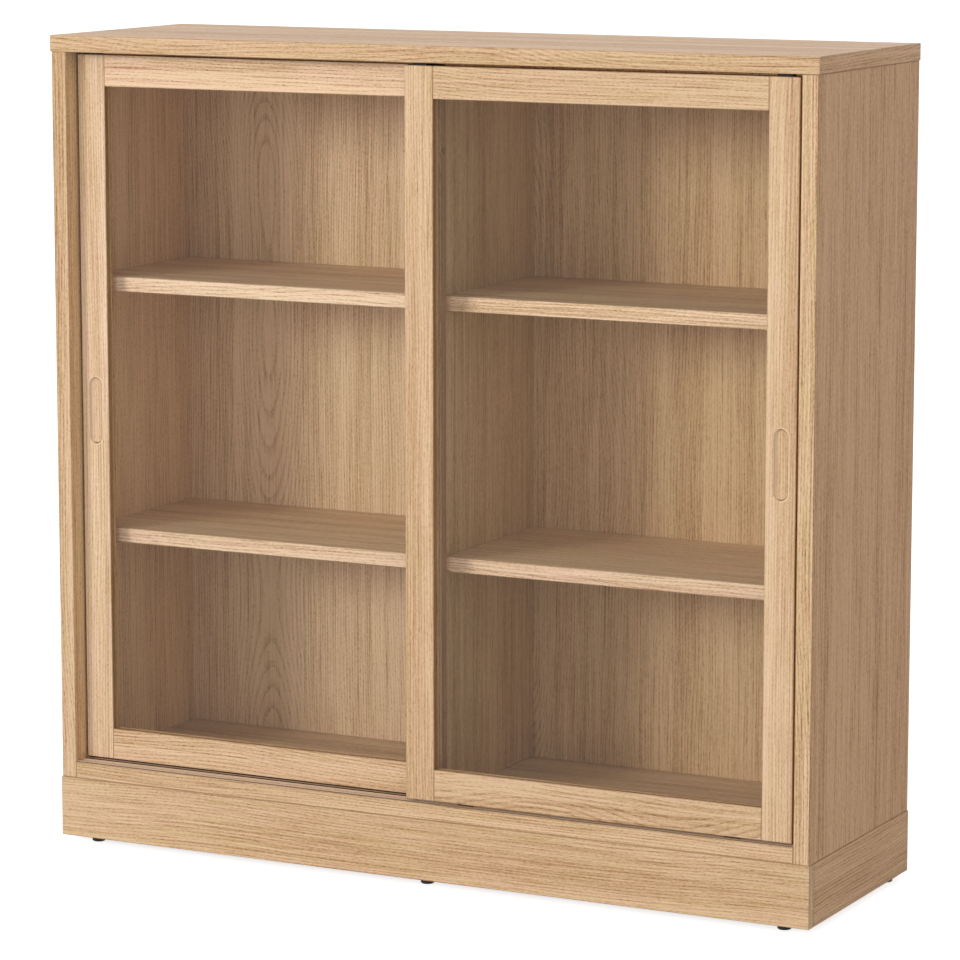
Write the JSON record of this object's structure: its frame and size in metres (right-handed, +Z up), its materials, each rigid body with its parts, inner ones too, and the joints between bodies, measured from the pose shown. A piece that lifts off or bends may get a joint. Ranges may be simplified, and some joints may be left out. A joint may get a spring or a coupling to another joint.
{
  "type": "sliding door bookcase",
  "caption": "Wooden bookcase on a plinth, with shelves behind glazed doors that slide past each other on rollers.",
  "frame": {"origin": "on the floor, under the middle of the cabinet's width and depth", "axes": "+X to the right seen from the front, along the width; +Y to the back; +Z up"},
  "size_m": [1.205, 0.37, 1.2],
  "materials": {
    "oak_veneered_board": "satin lacquer",
    "oak_door_frame": "satin lacquer",
    "oak_back_board": "satin lacquer",
    "plain_softwood": "planed",
    "beech_dowel": "plain",
    "clear_glass": "polished",
    "champagne_track": "satin anodised",
    "dark_plastic": "matt",
    "black_glide": "matt",
    "dark_nylon": "matt",
    "clear_bumper": "soft",
    "zinc_hardware": "zinc plated",
    "zinc_bracket": "zinc plated"
  },
  "bodies": {
    "cabinet": {"bottom_panel": "oak_veneered_board", "bottom_track": "champagne_track", "cam_bolts": "zinc_hardware", "cam_discs": "zinc_hardware", "carcass_dowels": "beech_dowel", "center_divider": "oak_veneered_board", "divider_screws": "zinc_hardware", "feet": "black_glide", "foot_nails": "zinc_hardware", "front_plinth_board": "oak_veneered_board", "left_back_panel": "oak_back_board", "left_lower_shelf": "oak_veneered_board", "left_plinth_board": "oak_veneered_board", "left_side_panel": "oak_veneered_board", "left_upper_shelf": "oak_veneered_board", "plinth_block_screws": "zinc_hardware", "plinth_blocks": "plain_softwood", "plinth_brace": "plain_softwood", "plinth_dowels": "beech_dowel", "plinth_floor_screws": "zinc_hardware", "rear_plinth_board": "oak_veneered_board", "right_back_panel": "oak_back_board", "right_lower_shelf": "oak_veneered_board", "right_plinth_board": "oak_veneered_board", "right_side_panel": "oak_veneered_board", "right_upper_shelf": "oak_veneered_board", "shelf_pins": "zinc_hardware", "top_panel": "oak_veneered_board", "top_track": "dark_plastic", "wall_bracket_screws": "zinc_hardware", "wall_brackets": "zinc_bracket"},
    "left_door": {"left_door_bottom_rail": "oak_door_frame", "left_door_bumpers": "clear_bumper", "left_door_dowels": "beech_dowel", "left_door_glass": "clear_glass", "left_door_glass_beads": "oak_door_frame", "left_door_guide_screws": "zinc_hardware", "left_door_left_stile": "oak_door_frame", "left_door_right_stile": "oak_door_frame", "left_door_roller_axles": "zinc_hardware", "left_door_roller_housings": "dark_nylon", "left_door_top_guides": "dark_plastic", "left_door_top_rail": "oak_door_frame"},
    "right_door": {"right_door_bottom_rail": "oak_door_frame", "right_door_bumpers": "clear_bumper", "right_door_dowels": "beech_dowel", "right_door_glass": "clear_glass", "right_door_glass_beads": "oak_door_frame", "right_door_guide_screws": "zinc_hardware", "right_door_left_stile": "oak_door_frame", "right_door_right_stile": "oak_door_frame", "right_door_roller_axles": "zinc_hardware", "right_door_roller_housings": "dark_nylon", "right_door_top_guides": "dark_plastic", "right_door_top_rail": "oak_door_frame"},
    "left_door_left_roller": {"left_door_left_roller": "dark_nylon"},
    "left_door_right_roller": {"left_door_right_roller": "dark_nylon"},
    "right_door_left_roller": {"right_door_left_roller": "dark_nylon"},
    "right_door_right_roller": {"right_door_right_roller": "dark_nylon"}
  },
  "joints": [
    {"name": "left_door_slide", "type": "slide", "parent": "cabinet", "child": "left_door", "axis": [1, 0, 0], "range_m": [0, 0.552]},
    {"name": "right_door_slide", "type": "slide", "parent": "cabinet", "child": "right_door", "axis": [1, 0, 0], "range_m": [-0.552, 0]},
    {"name": "left_door_left_roller_spin", "type": "hinge", "parent": "left_door", "child": "left_door_left_roller", "pos_m": [-0.482, -0.147, 0.1308], "axis": [0, 1, 0], "continuous": true},
    {"name": "left_door_right_roller_spin", "type": "hinge", "parent": "left_door", "child": "left_door_right_roller", "pos_m": [-0.07, -0.147, 0.1308], "axis": [0, 1, 0], "continuous": true},
    {"name": "right_door_left_roller_spin", "type": "hinge", "parent": "right_door", "child": "right_door_left_roller", "pos_m": [0.07, -0.1735, 0.1308], "axis": [0, 1, 0], "continuous": true},
    {"name": "right_door_right_roller_spin", "type": "hinge", "parent": "right_door", "child": "right_door_right_roller", "pos_m": [0.482, -0.1735, 0.1308], "axis": [0, 1, 0], "continuous": true}
  ],
  "couplings": [
    {"joint": "left_door_left_roller_spin", "follows": "left_door_slide", "rad_per_m": 76.923},
    {"joint": "left_door_right_roller_spin", "follows": "left_door_slide", "rad_per_m": 76.923},
    {"joint": "right_door_left_roller_spin", "follows": "right_door_slide", "rad_per_m": 76.923},
    {"joint": "right_door_right_roller_spin", "follows": "right_door_slide", "rad_per_m": 76.923}
  ]
}
